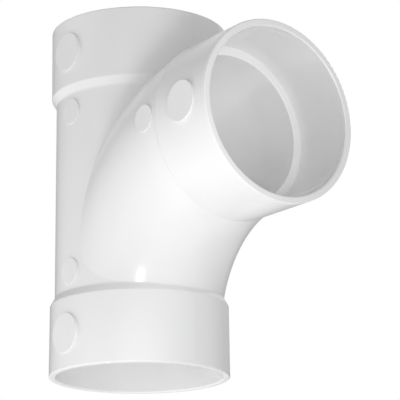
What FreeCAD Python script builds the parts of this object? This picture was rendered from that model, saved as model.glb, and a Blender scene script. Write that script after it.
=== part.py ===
import FreeCAD, Part
import Sketcher
import math
import os

# A drainage sanitary tee for solvent welding, moulded in one piece.
# The run stands along Z with its lower mouth on Z = 0, the branch looks along +X and
# climbs gently outwards, and the flat identification pads face -Y.
# Every hub takes the same pipe. The branch's waterway sweeps down into the run.

SIZES = [
    ("pipe_radius", 57.15, "outside radius of the pipe that every hub takes"),
    ("pipe_wall", 5.95, "wall of that pipe, so that its bore runs on into the waterway"),
    ("socket_clearance", 0.10, "radial room between the pipe and the socket's wall"),
    ("socket_depth", 46.0, "depth from each mouth to the pipe stop"),
    ("lead_in", 0.8, "chamfer that starts the pipe into the socket"),
    ("hub_wall", 4.75, "wall of a hub at its mouth"),
    ("hub_draft", 0.35, "how much less the hub's radius is at its shoulder"),
    ("hub_back_wall", 3.0, "from the pipe stop on to the hub's back edge"),
    ("shoulder_length", 5.5, "length of the cone behind a hub"),
    ("waist_wall", 7.2, "wall of the run between its hubs"),
    ("body_height", 247.5, "from the lower mouth to the upper mouth"),
    ("branch_height", 149.5, "height at which the branch's axis crosses the run's"),
    ("branch_reach", 153.0, "from the run's axis to the branch's mouth"),
    ("branch_slope", 1.19, "fall of a drain, a quarter inch in a foot, in degrees"),
    ("sweep_overlap", 7.6, "how far outside the branch's pipe stop the bend begins"),
    ("branch_back_wall", 6.5, "from the branch's pipe stop on to its hub's back edge"),
    ("sweep_lead", 4.0, "straight start of the sweep, inside the branch hub"),
    ("sweep_step", 0.75, "how far the sweep lies inside the hub's outside, at the branch"),
    ("sweep_lift", 0.55, "how far the sweep's outside lies above its bore"),
    ("sweep_turn", 5.0, "how far the sweep's outside has turned where it starts in the hub, in degrees"),
    ("sweep_knee", 50.0, "turn from the sweep's lower end up to its middle section, in degrees"),
    ("knee_wall", 7.5, "wall of the sweep at its middle section"),
    ("sweep_inset", 1.8, "how far the sweep ends inside the waist's outside"),
    ("bore_inset", 1.8, "how far the sweep's bore ends inside the waterway"),
    ("rim_round", 0.9, "round on a mouth's outer edge"),
    ("shoulder_round", 1.0, "round on a hub's back edge"),
    ("neck_round", 2.5, "fillet where a shoulder meets the waist"),
    ("crease_round", 1.5, "fillet where the sweep meets the run"),
    ("crotch_round", 1.5, "round where the two bores meet"),
    ("hub_pad_radius", 13.4, "radius of a hub's flat pad"),
    ("body_pad_radius", 8.8, "radius of the small flat pads on the body"),
    ("pad_rise", 0.8, "how far a pad's face stands off the round wall"),
    ("pad_root", 3.0, "depth from a pad's face to its root in the wall"),
    ("waist_pad_drop", 12.5, "from the upper shoulder's foot to the upper small pad"),
    ("waist_pad_lift", 13.0, "from the lower shoulder's foot to the lower small pad"),
    ("sweep_pad_setback", 66.0, "from the branch's mouth back to the sweep's small pad"),
    ("branch_pad_lift", 1.5, "from the branch's axis up to the centres of its pads"),
]

doc = FreeCAD.newDocument("SanitaryTee")
sheet = doc.addObject("Spreadsheet::Sheet", "Sizes")
for row, (alias, value, meaning) in enumerate(SIZES, 1):
    sheet.set(f"A{row}", alias)
    sheet.set(f"B{row}", repr(value))
    sheet.set(f"C{row}", meaning)
    sheet.setAlias(f"B{row}", alias)
doc.recompute()

tee = doc.addObject("PartDesign::Body", "Tee")
tee.Label = "sanitary_tee"

# Expressions that several features share
SOCKET = "(Sizes.pipe_radius + Sizes.socket_clearance)"
WATERWAY = "(Sizes.pipe_radius - Sizes.pipe_wall)"
HUB = f"({SOCKET} + Sizes.hub_wall)"
HUB_BACK = f"({HUB} - Sizes.hub_draft)"
WAIST = f"({WATERWAY} + Sizes.waist_wall)"
STOP = "Sizes.socket_depth"
HUB_LENGTH = f"({STOP} + Sizes.hub_back_wall)"
SHOULDER = f"({HUB_LENGTH} + Sizes.shoulder_length)"
TOP = "Sizes.body_height"
MOUTH = "Sizes.branch_reach"
SIN = "sin(Sizes.branch_slope * 1deg)"
COS = "cos(Sizes.branch_slope * 1deg)"
SWEEP_START = f"({MOUTH} - {STOP} + Sizes.sweep_overlap)"
BRANCH_HUB_LENGTH = f"({STOP} + Sizes.branch_back_wall)"
BEND = f"({SWEEP_START} * {COS} / (1 - {SIN}))"
SWEEP_CENTRE = f"(Sizes.branch_height + {SWEEP_START} * {SIN} - {BEND} * {COS})"
SWEEP_AT_BRANCH = f"({HUB} - Sizes.sweep_step)"
KNEE = "(Sizes.sweep_knee * 1deg)"


def number(formula):
    """The number that an expression gives now."""
    got = sheet.evalExpression(formula)
    return float(got.Value) if hasattr(got, "Value") else float(got)


def sketch_on(role, name, offsets=None, turn=None, about=(0, 0, 1)):
    """A sketch on one of the body's own planes, shifted and turned from it by expressions."""
    plane = next(f for f in tee.Origin.OriginFeatures if f.Role == role)
    sketch = tee.newObject("Sketcher::SketchObject", name)
    sketch.AttachmentSupport = [(plane, "")]
    sketch.MapMode = "FlatFace"
    if turn:
        rotation = FreeCAD.Rotation(FreeCAD.Vector(*about), 1.0)
        sketch.AttachmentOffset = FreeCAD.Placement(FreeCAD.Vector(), rotation)
        sketch.setExpression(".AttachmentOffset.Rotation.Angle", turn)
    for axis, formula in (offsets or {}).items():
        sketch.setExpression(f".AttachmentOffset.Base.{axis}", formula)
    return sketch


def bound(sketch, constraint, name, formula):
    """Adds a constraint whose value follows an expression."""
    sketch.renameConstraint(sketch.addConstraint(constraint), name)
    sketch.setExpression(f"Constraints.{name}", formula)


def hold(sketch, geometry, point, x, y, name):
    """Holds one point of a sketch at x and y, each an expression, or None for the axis itself."""
    for kind, formula, axis in (("DistanceX", x, -2), ("DistanceY", y, -1)):
        if formula is None:
            sketch.addConstraint(Sketcher.Constraint("PointOnObject", geometry, point, axis))
        else:
            constraint = Sketcher.Constraint(kind, -1, 1, geometry, point, number(formula))
            bound(sketch, constraint, f"{name}_{kind[-1].lower()}", formula)


def outline(sketch, corners):
    """A closed outline whose corners are pairs of expressions, None for a corner on an axis."""
    at = [FreeCAD.Vector(*(0.0 if c is None else number(c) for c in pair), 0) for pair in corners]
    count = len(corners)
    for i in range(count):
        sketch.addGeometry(Part.LineSegment(at[i], at[(i + 1) % count]), False)
    for i in range(count):
        sketch.addConstraint(Sketcher.Constraint("Coincident", i, 2, (i + 1) % count, 1))
    for i, (x, y) in enumerate(corners):
        hold(sketch, i, 1, x, y, f"corner{i}")


def disc(sketch, x, y, radius):
    """A circle held at x and y with its radius bound."""
    centre = FreeCAD.Vector(*(0.0 if c is None else number(c) for c in (x, y)), 0)
    sketch.addGeometry(Part.Circle(centre, FreeCAD.Vector(0, 0, 1), number(radius)), False)
    hold(sketch, 0, 3, x, y, "centre")
    bound(sketch, Sketcher.Constraint("Radius", 0, number(radius)), "radius", radius)


def settle(feature):
    """Recomputes the model and stops if this feature has no sound shape."""
    doc.recompute()
    if "Invalid" in feature.State or "Error" in feature.State or feature.Shape.isNull():
        raise RuntimeError(f"{feature.Name}: {feature.State}")


def turned(kind, name, sketch, axis):
    """A full turn of a sketch about one of its own axes, added or cut."""
    feature = tee.newObject(f"PartDesign::{kind}", name)
    feature.Profile = sketch
    feature.ReferenceAxis = (sketch, [axis])
    feature.Angle = 360.0
    settle(feature)


def rings(origin, axis, radius, along, tolerance=0.02):
    """Names of the circular edges about an axis with this radius at this distance along it."""
    names = []
    for i, edge in enumerate(tee.Tip.Shape.Edges, 1):
        if edge.Degenerated or not isinstance(edge.Curve, Part.Circle):
            continue
        offset = edge.Curve.Center - origin
        height = offset.dot(axis)
        off_axis = (offset - axis * height).Length
        if max(abs(edge.Curve.Radius - radius), abs(height - along), off_axis) < tolerance:
            names.append(f"Edge{i}")
    return names


def rounded(name, names, radius):
    """A fillet on named edges of the body's tip."""
    if not names:
        raise RuntimeError(f"{name}: no edges")
    base = tee.Tip
    feature = tee.newObject("PartDesign::Fillet", name)
    feature.Base = (base, names)
    feature.setExpression("Radius", radius)
    settle(feature)


# The run: two hubs, their shoulders and the waist, turned about Z
run_profile = sketch_on("XZ_Plane", "RunProfile")
outline(run_profile, [
    (None, None),
    (HUB, None),
    (HUB_BACK, HUB_LENGTH),
    (WAIST, SHOULDER),
    (WAIST, f"{TOP} - {SHOULDER}"),
    (HUB_BACK, f"{TOP} - {HUB_LENGTH}"),
    (HUB, TOP),
    (None, TOP),
])
turned("Revolution", "Run", run_profile, "V_Axis")


def both_ends(radius, from_mouth):
    """The run's circular edges of this radius at this distance from either mouth."""
    low = number(from_mouth)
    base = FreeCAD.Vector(0, 0, 0)
    up = FreeCAD.Vector(0, 0, 1)
    return rings(base, up, number(radius), low) + rings(base, up, number(radius), number(TOP) - low)


rounded("RunRims", both_ends(HUB, "0"), "Sizes.rim_round")
rounded("RunShoulders", both_ends(HUB_BACK, HUB_LENGTH), "Sizes.shoulder_round")
rounded("RunNecks", both_ends(WAIST, SHOULDER), "Sizes.neck_round")

# The sweep: a tube that bends from the branch's axis down to the run's. It starts inside the
# branch hub, so the hub's back edge stands out as a lip below it and hardly at all beside it.
slope = math.radians(number("Sizes.branch_slope"))
outwards = FreeCAD.Vector(math.cos(slope), 0, math.sin(slope))


def sweep_path(name, lead, lift, lean):
    """The sweep's centre line: a short straight start along the branch's axis, then the bend."""
    path = sketch_on("XZ_Plane", name)
    bend = number(BEND)
    height = f"{SWEEP_CENTRE} + {lift}"
    centre = FreeCAD.Vector(bend, number(height), 0)
    circle = Part.Circle(centre, FreeCAD.Vector(0, 0, 1), bend)
    tilt = math.radians(number(lean))
    arc = Part.ArcOfCircle(circle, math.pi / 2 + tilt, math.pi)
    start = FreeCAD.Vector(math.cos(tilt), math.sin(tilt), 0) * number(lead)
    path.addGeometry(arc, False)
    path.addGeometry(Part.LineSegment(arc.StartPoint, arc.StartPoint + start), False)
    hold(path, 0, 3, BEND, height, "centre")
    bound(path, Sketcher.Constraint("Radius", 0, bend), "bend", BEND)
    path.addConstraint(Sketcher.Constraint("Horizontal", 0, 2, 0, 3))
    path.addConstraint(Sketcher.Constraint("Tangent", 1, 1, 0, 1))
    bound(path, Sketcher.Constraint("Angle", 1, tilt), "slope", f"({lean}) * 1deg")
    bound(path, Sketcher.Constraint("Distance", 1, number(lead)), "lead", lead)
    return path


def sweep_sections(name, lead, lift, lean, first, middle, last):
    """The round sections at the two ends of the sweep and between them."""
    rise, run = f"sin(({lean}) * 1deg)", f"cos(({lean}) * 1deg)"
    offsets = {
        "y": f"{SWEEP_CENTRE} + {lift} + {BEND} * {run} + {lead} * {rise}",
        "z": f"{BEND} * (1 - {rise}) + {lead} * {run}",
    }
    begin = sketch_on("YZ_Plane", f"{name}Begin", offsets, lean, (-1, 0, 0))
    disc(begin, None, None, first)
    height = f"{SWEEP_CENTRE} + {lift}"
    offsets = {"y": f"{height} + {BEND} * sin({KNEE})", "z": f"{BEND} * (1 - cos({KNEE}))"}
    between = sketch_on("YZ_Plane", f"{name}Middle", offsets, f"90deg - {KNEE}", (-1, 0, 0))
    disc(between, None, None, middle)
    end = sketch_on("XY_Plane", f"{name}End", {"z": height})
    disc(end, None, None, last)
    return begin, between, end


def swept(kind, name, lead, lift, lean, first, middle, last):
    """A pipe feature along the sweep's path, its radius passing from first through middle to last."""
    path = sweep_path(f"{name}Path", lead, lift, lean)
    begin, between, end = sweep_sections(name, lead, lift, lean, first, middle, last)
    doc.recompute()
    feature = tee.newObject(f"PartDesign::{kind}", name)
    feature.Profile = begin
    feature.Spine = (path, [])
    feature.Sections = [(between, [""]), (end, [""])]
    feature.Transformation = "Multisection"
    settle(feature)


swept("AdditivePipe", "Sweep", "Sizes.sweep_lead", "Sizes.sweep_lift",
      "Sizes.branch_slope + Sizes.sweep_turn",
      SWEEP_AT_BRANCH, f"{WATERWAY} + Sizes.knee_wall", f"{WAIST} - Sizes.sweep_inset")

# The branch hub and its shoulder, turned about the sloping branch axis
ON_BRANCH = {"offsets": {"y": "Sizes.branch_height"}, "turn": "Sizes.branch_slope"}
branch_profile = sketch_on("XZ_Plane", "BranchProfile", **ON_BRANCH)
outline(branch_profile, [
    (f"{MOUTH} - {BRANCH_HUB_LENGTH} - Sizes.shoulder_length", None),
    (MOUTH, None),
    (MOUTH, HUB),
    (f"{MOUTH} - {BRANCH_HUB_LENGTH}", HUB_BACK),
    (f"{MOUTH} - {BRANCH_HUB_LENGTH} - Sizes.shoulder_length", WAIST),
])
turned("Revolution", "BranchHub", branch_profile, "H_Axis")

knee = FreeCAD.Vector(0, 0, number("Sizes.branch_height"))
rounded("BranchRim", rings(knee, outwards, number(HUB), number(MOUTH)), "Sizes.rim_round")
branch_back = number(f"{MOUTH} - {BRANCH_HUB_LENGTH}")
rounded("BranchShoulder", rings(knee, outwards, number(HUB_BACK), branch_back), "Sizes.shoulder_round")


def seams(start, finish, wall, margin):
    """Names of the curved edges that lie on the run's round wall between two heights."""
    names = []
    for i, edge in enumerate(tee.Tip.Shape.Edges, 1):
        if edge.Degenerated or not isinstance(edge.Curve, Part.BSplineCurve):
            continue
        middle = edge.valueAt((edge.FirstParameter + edge.LastParameter) / 2)
        on_wall = abs(math.hypot(middle.x, middle.y) - number(wall)) < margin
        if on_wall and number(start) < middle.z < number(finish) and middle.x > 1:
            names.append(f"Edge{i}")
    return names


# The crease between the sweep and the run, from the upper hub down to where it fades
crease = seams(f"{SHOULDER} + Sizes.neck_round", TOP, WAIST, 4.5)
rounded("Crease", crease, "Sizes.crease_round")


def flat_pad(name, x, z, wall, radius):
    """A disc whose flat face stands just off the round wall on the -Y side."""
    face = sketch_on("XZ_Plane", f"{name}Disc", {"z": f"{wall} + Sizes.pad_rise"})
    disc(face, x, z, radius)
    pad = tee.newObject("PartDesign::Pad", name)
    pad.Profile = face
    pad.Reversed = True
    pad.setExpression("Length", "Sizes.pad_root")
    settle(pad)


BIG = "Sizes.hub_pad_radius"
SMALL = "Sizes.body_pad_radius"
ON_AXIS = "Sizes.branch_height + Sizes.branch_pad_lift"
HUB_PAD = f"({MOUTH} - {HUB_LENGTH} / 2)"
SWEEP_PAD = f"({MOUTH} - Sizes.sweep_pad_setback)"
flat_pad("LowerHubPad", None, f"{HUB_LENGTH} / 2", HUB, BIG)
flat_pad("UpperHubPad", None, f"{TOP} - {HUB_LENGTH} / 2", HUB, BIG)
flat_pad("BranchHubPad", HUB_PAD, f"{ON_AXIS} + {HUB_PAD} * {SIN}", HUB, BIG)
flat_pad("LowerWaistPad", None, f"{SHOULDER} + Sizes.waist_pad_lift", WAIST, SMALL)
flat_pad("UpperWaistPad", None, f"{TOP} - {SHOULDER} - Sizes.waist_pad_drop", WAIST, SMALL)
flat_pad("SweepPad", SWEEP_PAD, f"{ON_AXIS} + {SWEEP_PAD} * {SIN}", f"{SWEEP_AT_BRANCH} - Sizes.pad_rise", SMALL)

# The run's waterway, its two sockets and their lead-ins
run_bore = sketch_on("XZ_Plane", "RunBoreProfile")
outline(run_bore, [
    (None, None),
    (f"{SOCKET} + Sizes.lead_in", None),
    (SOCKET, "Sizes.lead_in"),
    (SOCKET, STOP),
    (WATERWAY, STOP),
    (WATERWAY, f"{TOP} - {STOP}"),
    (SOCKET, f"{TOP} - {STOP}"),
    (SOCKET, f"{TOP} - Sizes.lead_in"),
    (f"{SOCKET} + Sizes.lead_in", TOP),
    (None, TOP),
])
turned("Groove", "RunBore", run_bore, "V_Axis")

# The branch's socket and lead-in, then the bore that sweeps down into the run
branch_bore = sketch_on("XZ_Plane", "BranchBoreProfile", **ON_BRANCH)
outline(branch_bore, [
    (MOUTH, None),
    (MOUTH, f"{SOCKET} + Sizes.lead_in"),
    (f"{MOUTH} - Sizes.lead_in", SOCKET),
    (f"{MOUTH} - {STOP}", SOCKET),
    (f"{MOUTH} - {STOP}", None),
])
turned("Groove", "BranchSocket", branch_bore, "H_Axis")
swept("SubtractivePipe", "SweepBore", "Sizes.sweep_lead", "0", "Sizes.branch_slope",
      WATERWAY, f"{WATERWAY} - Sizes.bore_inset / 2", f"{WATERWAY} - Sizes.bore_inset")
rounded("Crotch", seams(f"{STOP} + 2", TOP, WATERWAY, 0.3), "Sizes.crotch_round")

for thing in doc.Objects:
    if "Invalid" in thing.State or "Error" in thing.State:
        raise RuntimeError(f"{thing.Name}: {thing.State}")
    if thing.TypeId == "Sketcher::SketchObject" and not thing.FullyConstrained:
        raise RuntimeError(f"{thing.Name} is not fully constrained")
solid = tee.Shape
if solid.isNull() or not solid.isValid() or len(solid.Solids) != 1:
    raise RuntimeError("the tee is not one valid solid")
box = solid.optimalBoundingBox(False, False)
extent = f"{box.XLength:.2f} x {box.YLength:.2f} x {box.ZLength:.2f} mm"
print(f"{tee.Label}: {extent}, {solid.Volume / 1000:.1f} cm3")
os.makedirs("parts", exist_ok=True)
solid.exportStep(f"parts/{tee.Label}.step")
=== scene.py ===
"""Dresses the sanitary tee: white moulded PVC, a floor clear from below, soft light and the camera.

Everything is in metres, in the frame of the CAD model: the run stands along +Z on its lower rim,
the branch looks along +X and the flat pads face -Y.
"""
import math

import bpy
from mathutils import Matrix, Vector


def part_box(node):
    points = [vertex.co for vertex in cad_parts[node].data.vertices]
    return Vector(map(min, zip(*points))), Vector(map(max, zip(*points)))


bl_info = {
    "name": "Sanitary tee finish",
    "version": (1, 0, 0),
    "blender": (4, 5, 0),
    "location": "View3D > Sidebar > Tee",
    "description": "Gives the moulded tee its finish, its studio and its camera",
    "category": "Object",
}

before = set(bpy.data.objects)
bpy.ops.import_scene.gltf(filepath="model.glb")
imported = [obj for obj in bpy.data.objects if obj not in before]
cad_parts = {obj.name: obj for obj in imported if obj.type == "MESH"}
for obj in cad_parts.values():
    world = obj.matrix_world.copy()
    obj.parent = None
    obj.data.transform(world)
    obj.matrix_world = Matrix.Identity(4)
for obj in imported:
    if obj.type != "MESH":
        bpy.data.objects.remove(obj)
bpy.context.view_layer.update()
TEE = "sanitary_tee"
RIM_LOW, RIM_HIGH = (corner.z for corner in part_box(TEE))

# The duller ends of the hubs: a thin ring on the run, the last 3.2 mm on the branch, which
# climbs outwards. The branch's value is measured as x + z * tan(slope).
BRANCH_SLOPE = math.radians(1.19)
BRANCH_DULL_FROM = 0.1529
DULL_EDGE = 0.0006

# Patterns of the moulded wall: noise cells to a metre, and the noise values that a band runs over
FLOW_CELLS = 22.0
FLOW_STRETCH = 0.45
FLOW_WARP = 0.6
FLOW_BAND = (0.36, 0.66)
RIPPLE_CELLS = 38.0
GRAIN_CELLS = 1500.0
SMUDGE_CELLS = 60.0
SMUDGE_BAND = (0.35, 0.75)
SMUDGE_ROUGHNESS = 0.04
PVC_IOR = 1.53

# Cosine at the outer edge of a soft light of the sky
WIDE_EDGE = 0.45
TOP_EDGE = 0.7
NARROW_EDGE = 0.75
WHITE = (1.0, 1.0, 1.0, 1.0)

# The camera's place round the run's axis, and how it is turned there, in metres and degrees
CAMERA_BEARING = -36.425
CAMERA_DISTANCE = 1.3589
CAMERA_HEIGHT = -0.2460
CAMERA_ASIDE = -1.789
CAMERA_PITCH = 15.318
CAMERA_ROLL = -0.531


# Settings that a user would change

class MouldedFinish(bpy.types.PropertyGroup):
    """The white PVC of the tee."""
    body_colour: bpy.props.FloatVectorProperty(
        name="Body colour", description="Colour of the moulded wall", subtype="COLOR", size=3,
        min=0.0, max=1.0, default=(0.898, 0.898, 0.896))
    flow_colour: bpy.props.FloatVectorProperty(
        name="Flow colour", description="Faintly greyer colour of the melt's flow bands",
        subtype="COLOR", size=3, min=0.0, max=1.0, default=(0.872, 0.873, 0.878))
    roughness: bpy.props.FloatProperty(
        name="Roughness", description="Roughness of the polished wall", subtype="FACTOR",
        min=0.0, max=1.0, default=0.17)
    rim_roughness: bpy.props.FloatProperty(
        name="Rim roughness", description="Roughness added at the ends of the hubs",
        subtype="FACTOR", min=0.0, max=1.0, default=0.16)
    ripple: bpy.props.FloatProperty(
        name="Ripple", description="Height of the slow ripple that the mould leaves",
        subtype="DISTANCE", unit="LENGTH", min=0.0, max=0.001, default=0.000012, precision=6)
    grain: bpy.props.FloatProperty(
        name="Grain", description="Height of the fine mould texture", subtype="DISTANCE",
        unit="LENGTH", min=0.0, max=0.001, default=0.000004, precision=6)


class Studio(bpy.types.PropertyGroup):
    """The floor, the sky, the lamps and the camera's lens."""
    floor_size: bpy.props.FloatProperty(
        name="Floor size", description="Side of the square floor", subtype="DISTANCE",
        unit="LENGTH", min=0.5, default=6.0)
    floor_colour: bpy.props.FloatVectorProperty(
        name="Floor colour", description="Colour of the floor, seen from above",
        subtype="COLOR", size=3, min=0.0, max=1.0, default=(0.86, 0.86, 0.86))
    floor_glow: bpy.props.FloatProperty(
        name="Floor glow", description="Light of the floor itself, so that it stays pale",
        min=0.0, default=0.33)
    even_light: bpy.props.FloatProperty(
        name="Even light", description="Strength of the sky all round", min=0.0, default=0.29)
    left_light: bpy.props.FloatProperty(
        name="Left light", description="Strength of the soft light low on the camera's left",
        min=0.0, default=0.9)
    branch_light: bpy.props.FloatProperty(
        name="Branch light", description="Strength of the soft light low beyond the branch",
        min=0.0, default=0.46)
    mouth_light: bpy.props.FloatProperty(
        name="Mouth light", description="Strength of the soft light that looks into the branch",
        min=0.0, default=0.36)
    under_light: bpy.props.FloatProperty(
        name="Under light", description="Strength of the soft light straight below",
        min=0.0, default=0.55)
    back_light: bpy.props.FloatProperty(
        name="Back light", description="Strength of the two soft lights low behind the run",
        min=0.0, default=0.29)
    top_light: bpy.props.FloatProperty(
        name="Top light", description="Strength of the soft light above and behind",
        min=0.0, default=0.9)
    back_shade: bpy.props.FloatProperty(
        name="Back shade", description="How much darker the sky is right behind the tee",
        min=0.0, max=1.0, default=0.28)
    low_power: bpy.props.FloatProperty(
        name="Low lamp", description="Power of the small lamp that leaves the sweep's bright spot",
        subtype="POWER", min=0.0, default=0.028)
    mouth_power: bpy.props.FloatProperty(
        name="Mouth lamp", description="Power of the lamp that looks into the branch",
        subtype="POWER", min=0.0, default=0.018)
    lens: bpy.props.FloatProperty(
        name="Lens", description="Focal length for a 36 mm wide frame", min=10.0, default=181.1)


# Node helpers

def new_material(name):
    """An empty node material and its node tree."""
    material = bpy.data.materials.new(name)
    material.use_nodes = True
    material.node_tree.nodes.clear()
    return material, material.node_tree


def add(tree, kind, label="", at=(0, 0), **values):
    """A node of this kind, labelled and placed, with its properties set."""
    node = tree.nodes.new(kind)
    node.label = label
    node.location = at
    for name, value in values.items():
        setattr(node, name, value)
    return node


def feed(tree, source, target):
    """Links a socket, or writes a plain value on the target socket."""
    if isinstance(source, bpy.types.NodeSocket):
        tree.links.new(source, target)
    else:
        target.default_value = source


def math_node(tree, operation, a, b, c=None, at=(0, 0), label=""):
    """The result of one sum, on sockets or plain numbers."""
    node = add(tree, "ShaderNodeMath", label, at, operation=operation)
    for socket, value in zip(node.inputs, (a, b, c)):
        if value is not None:
            feed(tree, value, socket)
    return node.outputs[0]


def spread(tree, value, low, high, to_low, to_high, at=(0, 0), label=""):
    """A value spread from one range onto another, smooth at both ends."""
    node = add(tree, "ShaderNodeMapRange", label, at, interpolation_type="SMOOTHSTEP")
    feed(tree, value, node.inputs["Value"])
    feed(tree, low, node.inputs["From Min"])
    feed(tree, high, node.inputs["From Max"])
    feed(tree, to_low, node.inputs["To Min"])
    feed(tree, to_high, node.inputs["To Max"])
    return node.outputs["Result"]


def noise(tree, vector, cells, detail, at=(0, 0), label="", warp=0.0):
    """A noise value on the given coordinates, with this many cells to a metre."""
    node = add(tree, "ShaderNodeTexNoise", label, at)
    feed(tree, vector, node.inputs["Vector"])
    feed(tree, cells, node.inputs["Scale"])
    node.inputs["Detail"].default_value = detail
    node.inputs["Distortion"].default_value = warp
    return node.outputs["Fac"]


def new_group(name, inputs, output):
    """A shader node group with these inputs, each (name, socket type, default), and one value out."""
    group = bpy.data.node_groups.new(name, "ShaderNodeTree")
    for title, kind, default in inputs:
        socket = group.interface.new_socket(title, in_out="INPUT", socket_type=kind)
        if default is not None:
            socket.default_value = default
    group.interface.new_socket(output, in_out="OUTPUT", socket_type="NodeSocketFloat")
    return group, group.nodes.new("NodeGroupInput"), group.nodes.new("NodeGroupOutput")


def place_group(tree, group, at, values):
    """The value of a node that uses the group, with its inputs fed."""
    node = add(tree, "ShaderNodeGroup", group.name, at)
    node.node_tree = group
    for name, value in values.items():
        feed(tree, value, node.inputs[name])
    return node.outputs[0]


# Finish of the moulded wall

def melt_flow_group():
    """Slow bands that the melt leaves as it runs round the mould, as a mask from 0 to 1."""
    group, given, made = new_group("Melt flow", [
        ("Vector", "NodeSocketVector", None),
        ("Size", "NodeSocketFloat", FLOW_CELLS)], "Bands")
    stretched = add(group, "ShaderNodeMapping", "along the flow", (-500, 0))
    stretched.inputs["Scale"].default_value = (1.0, 1.0, FLOW_STRETCH)
    feed(group, given.outputs["Vector"], stretched.inputs["Vector"])
    wave = noise(group, stretched.outputs["Vector"], given.outputs["Size"], 2.0,
                 (-300, 0), "slow bands", FLOW_WARP)
    bands = spread(group, wave, *FLOW_BAND, 0.0, 1.0, (-100, 0), "bands")
    feed(group, bands, made.inputs["Bands"])
    return group


def dull_end_group():
    """A mask of the two flat end rings of the run and of the branch's end."""
    group, given, made = new_group("End rings", [
        ("Vector", "NodeSocketVector", None),
        ("Low", "NodeSocketFloat", RIM_LOW),
        ("High", "NodeSocketFloat", RIM_HIGH),
        ("Branch", "NodeSocketFloat", BRANCH_DULL_FROM),
        ("Width", "NodeSocketFloat", DULL_EDGE)], "Mask")
    parts = add(group, "ShaderNodeSeparateXYZ", "", (-700, 0))
    feed(group, given.outputs["Vector"], parts.inputs["Vector"])
    above = math_node(group, "SUBTRACT", parts.outputs["Z"], given.outputs["Low"], at=(-500, 200))
    below = math_node(group, "SUBTRACT", given.outputs["High"], parts.outputs["Z"], at=(-500, 0))
    outwards = math_node(group, "MULTIPLY_ADD", parts.outputs["Z"], math.tan(BRANCH_SLOPE),
                         parts.outputs["X"], (-500, -200), "along the branch")
    inside = math_node(group, "SUBTRACT", given.outputs["Branch"], outwards, at=(-300, -200))
    nearest = math_node(group, "MINIMUM", above, below, at=(-300, 100))
    nearest = math_node(group, "MINIMUM", nearest, inside, at=(-100, 0))
    mask = spread(group, nearest, given.outputs["Width"], 0.0, 0.0, 1.0, (100, 0), "on an end")
    feed(group, mask, made.inputs["Mask"])
    return group


def mould_texture_group():
    """Height of the mould's slow ripple and fine grain, in metres."""
    group, given, made = new_group("Mould texture", [
        ("Vector", "NodeSocketVector", None),
        ("Ripple", "NodeSocketFloat", 0.0),
        ("Grain", "NodeSocketFloat", 0.0)], "Height")
    slow = noise(group, given.outputs["Vector"], RIPPLE_CELLS, 1.0, (-500, 150), "ripple")
    fine = noise(group, given.outputs["Vector"], GRAIN_CELLS, 2.0, (-500, -150), "grain")
    slow = math_node(group, "MULTIPLY", slow, given.outputs["Ripple"], at=(-300, 150))
    both = math_node(group, "MULTIPLY_ADD", fine, given.outputs["Grain"], slow, (-100, 0))
    feed(group, both, made.inputs["Height"])
    return group


def white_pvc(finish):
    """Glossy white rigid PVC as it comes out of a polished mould."""
    material, tree = new_material("white_pvc")
    place = add(tree, "ShaderNodeTexCoord", "", (-1200, 0)).outputs["Object"]
    flow = place_group(tree, melt_flow_group(), (-900, 300), {"Vector": place})
    dull = place_group(tree, dull_end_group(), (-900, 50), {"Vector": place})
    height = place_group(tree, mould_texture_group(), (-900, -300), {
        "Vector": place, "Ripple": finish.ripple, "Grain": finish.grain})
    tint = add(tree, "ShaderNodeMix", "flow bands", (-600, 300), data_type="RGBA")
    feed(tree, flow, tint.inputs["Factor"])
    feed(tree, (*finish.body_colour, 1.0), tint.inputs[6])
    feed(tree, (*finish.flow_colour, 1.0), tint.inputs[7])
    smudge = noise(tree, place, SMUDGE_CELLS, 3.0, (-900, -50), "handling")
    rough = spread(tree, smudge, *SMUDGE_BAND, finish.roughness,
                   finish.roughness + SMUDGE_ROUGHNESS, (-600, 50), "handled")
    rough = math_node(tree, "MULTIPLY_ADD", dull, finish.rim_roughness, rough,
                      (-400, 50), "ends are duller")
    bump = add(tree, "ShaderNodeBump", "mould texture", (-600, -300))
    bump.inputs["Strength"].default_value = 1.0
    bump.inputs["Distance"].default_value = 1.0
    feed(tree, height, bump.inputs["Height"])
    plastic = add(tree, "ShaderNodeBsdfPrincipled", "PVC", (-200, 100))
    feed(tree, tint.outputs[2], plastic.inputs["Base Color"])
    feed(tree, rough, plastic.inputs["Roughness"])
    feed(tree, bump.outputs["Normal"], plastic.inputs["Normal"])
    plastic.inputs["IOR"].default_value = PVC_IOR
    out = add(tree, "ShaderNodeOutputMaterial", "", (100, 100))
    feed(tree, plastic.outputs["BSDF"], out.inputs["Surface"])
    return material


# Floor, sky and lamps

def floor_material(colour, glow_level):
    """A pale matt floor, seen from above only, so the tee can be looked at from below."""
    material, tree = new_material("floor")
    matt = add(tree, "ShaderNodeBsdfDiffuse", "", (-400, 100))
    matt.inputs["Color"].default_value = (*colour, 1.0)
    glow = add(tree, "ShaderNodeEmission", "keeps the floor pale", (-400, 250))
    glow.inputs["Color"].default_value = WHITE
    glow.inputs["Strength"].default_value = glow_level
    pale = add(tree, "ShaderNodeAddShader", "", (-200, 150))
    feed(tree, matt.outputs["BSDF"], pale.inputs[0])
    feed(tree, glow.outputs["Emission"], pale.inputs[1])
    clear = add(tree, "ShaderNodeBsdfTransparent", "", (-200, -100))
    side = add(tree, "ShaderNodeNewGeometry", "", (-200, 300))
    pick = add(tree, "ShaderNodeMixShader", "", (0, 100))
    feed(tree, side.outputs["Backfacing"], pick.inputs["Fac"])
    feed(tree, pale.outputs["Shader"], pick.inputs[1])
    feed(tree, clear.outputs["BSDF"], pick.inputs[2])
    out = add(tree, "ShaderNodeOutputMaterial", "", (200, 100))
    feed(tree, pick.outputs["Shader"], out.inputs["Surface"])
    return material


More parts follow.
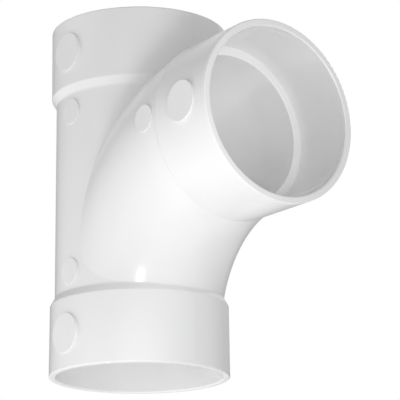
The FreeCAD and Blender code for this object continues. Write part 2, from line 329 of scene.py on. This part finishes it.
def soft_light(tree, place, towards, edge, strength, before, at):
    """The sky's level with one more light: full straight towards it, none past its edge's cosine."""
    aim = add(tree, "ShaderNodeVectorMath", "cosine", at, operation="DOT_PRODUCT")
    feed(tree, place, aim.inputs[0])
    feed(tree, towards, aim.inputs[1])
    fade = spread(tree, aim.outputs["Value"], edge, 1.0, 0.0, 1.0, (at[0], at[1] - 200), "soft edge")
    return math_node(tree, "MULTIPLY_ADD", fade, strength, before, (at[0], at[1] - 450))


def studio_sky(studio):
    """White where the camera looks past the tee; for all else an even level and soft lights."""
    world = bpy.data.worlds.new("studio_sky")
    bpy.context.scene.world = world
    world.use_nodes = True
    tree = world.node_tree
    tree.nodes.clear()
    place = add(tree, "ShaderNodeTexCoord", "", (-2500, 0)).outputs["Generated"]
    level = studio.even_light
    lights = (
        ((-0.53, -0.74, -0.41), WIDE_EDGE, studio.left_light),
        ((0.851, 0.0, -0.526), WIDE_EDGE, studio.branch_light),
        ((0.934, -0.357, 0.0), WIDE_EDGE, studio.mouth_light),
        ((0.1, -0.15, -0.984), NARROW_EDGE, studio.under_light),
        ((-0.577, 0.577, -0.577), WIDE_EDGE, studio.back_light),
        ((-0.851, 0.0, -0.526), WIDE_EDGE, studio.back_light),
        ((-0.45, 0.55, 0.704), TOP_EDGE, studio.top_light),
        ((-0.78, 0.57, 0.26), NARROW_EDGE, -studio.back_shade),
    )
    for i, (towards, edge, strength) in enumerate(lights):
        level = soft_light(tree, place, towards, edge, strength, level, (220 * i - 2200, 200))
    soft = add(tree, "ShaderNodeBackground", "studio", (-300, 0))
    soft.inputs["Color"].default_value = WHITE
    feed(tree, level, soft.inputs["Strength"])
    white = add(tree, "ShaderNodeBackground", "backdrop", (-300, -200))
    white.inputs["Color"].default_value = WHITE
    white.inputs["Strength"].default_value = 1.0
    path = add(tree, "ShaderNodeLightPath", "", (-300, 300))
    pick = add(tree, "ShaderNodeMixShader", "", (0, 0))
    feed(tree, path.outputs["Is Camera Ray"], pick.inputs["Fac"])
    feed(tree, soft.outputs["Background"], pick.inputs[1])
    feed(tree, white.outputs["Background"], pick.inputs[2])
    out = add(tree, "ShaderNodeOutputWorld", "", (200, 0))
    feed(tree, pick.outputs["Shader"], out.inputs["Surface"])


def soft_lamp(name, size, spread_angle, power, place, target):
    """A round lamp at a place, turned to a target, its light kept within the spread angle."""
    data = bpy.data.lights.new(name, "AREA")
    data.shape = "DISK"
    data.size = size
    data.spread = spread_angle
    data.energy = power
    lamp = bpy.data.objects.new(name, data)
    bpy.context.scene.collection.objects.link(lamp)
    turn = (Vector(target) - Vector(place)).to_track_quat("-Z", "Y").to_matrix().to_4x4()
    lamp.matrix_world = Matrix.Translation(place) @ turn
    lamp.visible_camera = False


# Operators

class TEE_OT_finish(bpy.types.Operator):
    """Gives the moulded tee its white PVC finish"""
    bl_idname = "tee.finish"
    bl_label = "Finish the tee"

    def execute(self, context):
        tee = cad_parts.get(TEE)
        if tee is None:
            raise RuntimeError(f"the frame has no node {TEE}")
        material = white_pvc(context.scene.tee_finish)
        for slot in tee.material_slots:
            slot.material = material
        return {"FINISHED"}


class TEE_OT_camera(bpy.types.Operator):
    """Places the camera in front of the tee, a little below it"""
    bl_idname = "tee.camera"
    bl_label = "Place the camera"

    def execute(self, context):
        data = bpy.data.cameras.new("camera")
        data.sensor_width = 36.0
        data.lens = context.scene.tee_studio.lens
        data.clip_end = 20.0
        camera = bpy.data.objects.new("camera", data)
        context.scene.collection.objects.link(camera)
        bearing = math.radians(CAMERA_BEARING)
        heading = math.radians(CAMERA_BEARING + CAMERA_ASIDE)
        pitch = math.radians(CAMERA_PITCH)
        roll = math.radians(CAMERA_ROLL)
        ahead = Vector((
            -math.cos(heading) * math.cos(pitch),
            -math.sin(heading) * math.cos(pitch),
            math.sin(pitch)))
        level_right = ahead.cross(Vector((0, 0, 1))).normalized()
        level_up = level_right.cross(ahead)
        right = level_right * math.cos(roll) + level_up * math.sin(roll)
        up = level_up * math.cos(roll) - level_right * math.sin(roll)
        turn = Matrix((right, up, -ahead)).transposed()
        place = Vector((
            math.cos(bearing) * CAMERA_DISTANCE,
            math.sin(bearing) * CAMERA_DISTANCE,
            CAMERA_HEIGHT))
        camera.matrix_world = Matrix.Translation(place) @ turn.to_4x4()
        context.scene.camera = camera
        return {"FINISHED"}


class TEE_OT_stage(bpy.types.Operator):
    """Builds the floor, the sky and the lamps"""
    bl_idname = "tee.stage"
    bl_label = "Build the studio"

    def execute(self, context):
        studio = context.scene.tee_studio
        half = studio.floor_size / 2
        corners = [(-half, -half, 0), (half, -half, 0), (half, half, 0), (-half, half, 0)]
        mesh = bpy.data.meshes.new("floor")
        mesh.from_pydata(corners, [], [(0, 1, 2, 3)])
        mesh.materials.append(floor_material(studio.floor_colour, studio.floor_glow))
        floor = bpy.data.objects.new("floor", mesh)
        context.scene.collection.objects.link(floor)
        floor.visible_diffuse = False
        floor.visible_glossy = False
        floor.visible_shadow = False
        studio_sky(studio)
        soft_lamp(
            "low_lamp", size=0.028, spread_angle=math.radians(32), power=studio.low_power,
            place=(0.463, -0.423, -0.137), target=(0.03, -0.03, 0.0))
        soft_lamp(
            "mouth_lamp", size=0.1, spread_angle=math.radians(30), power=studio.mouth_power,
            place=(0.48, -0.16, 0.0), target=(0.11, 0.0, 0.165))
        return {"FINISHED"}


class TEE_PT_panel(bpy.types.Panel):
    """Lists the tee's settings and steps"""
    bl_idname = "TEE_PT_panel"
    bl_label = "Tee"
    bl_space_type = "VIEW_3D"
    bl_region_type = "UI"
    bl_category = "Tee"

    def draw(self, context):
        scene = context.scene
        for group, names, step in (
                (scene.tee_finish, MouldedFinish.__annotations__, TEE_OT_finish),
                (scene.tee_studio, Studio.__annotations__, TEE_OT_stage)):
            column = self.layout.column()
            for name in names:
                column.prop(group, name)
            column.operator(step.bl_idname)
        self.layout.operator(TEE_OT_camera.bl_idname)


CLASSES = (MouldedFinish, Studio, TEE_OT_finish, TEE_OT_camera, TEE_OT_stage, TEE_PT_panel)


def register():
    for item in CLASSES:
        bpy.utils.register_class(item)
    bpy.types.Scene.tee_finish = bpy.props.PointerProperty(type=MouldedFinish)
    bpy.types.Scene.tee_studio = bpy.props.PointerProperty(type=Studio)


def unregister():
    del bpy.types.Scene.tee_studio
    del bpy.types.Scene.tee_finish
    for item in reversed(CLASSES):
        bpy.utils.unregister_class(item)


def main():
    """Runs the steps in order."""
    register()
    bpy.context.scene.view_settings.view_transform = "Standard"
    bpy.ops.tee.camera()
    bpy.ops.tee.finish()
    bpy.ops.tee.stage()


if __name__ == "__main__":
    main()
